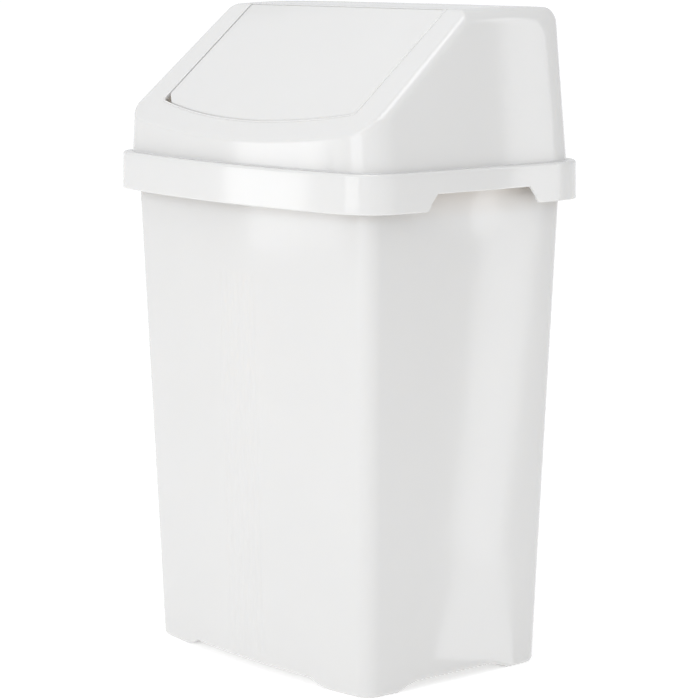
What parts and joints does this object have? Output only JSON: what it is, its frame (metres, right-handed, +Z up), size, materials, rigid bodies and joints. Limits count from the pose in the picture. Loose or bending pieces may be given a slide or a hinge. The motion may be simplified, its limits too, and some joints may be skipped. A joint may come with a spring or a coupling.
{
  "type": "dog waste bin",
  "caption": "Free-standing swing-top waste bin: tapered moulded body, lift-off hood with a sloping front, and a flap that swings inwards and shuts itself.",
  "frame": {"origin": "on the ground, under the centre of the whole bin's bounding box", "axes": "+Z up, -Y towards the front with the flap, +X towards the side on the right of the picture of its front"},
  "size_m": [0.4294, 0.331, 0.68],
  "materials": {
    "bin_body": "glossy moulded",
    "lid_hood": "glossy moulded",
    "swing_flap": "glossy moulded"
  },
  "bodies": {
    "bin": {"bin_body": "bin_body"},
    "lid": {"lid_hood": "lid_hood"},
    "flap": {"swing_flap": "swing_flap"}
  },
  "joints": [
    {"name": "lid_lift", "type": "slide", "parent": "bin", "child": "lid", "axis": [0, 0, 1], "range_m": [0, 0.06]},
    {"name": "flap_swing", "type": "hinge", "parent": "lid", "child": "flap", "pos_m": [0, -0.03769, 0.63471], "axis": [1, 0, 0], "range_deg": [-10, 58]}
  ]
}
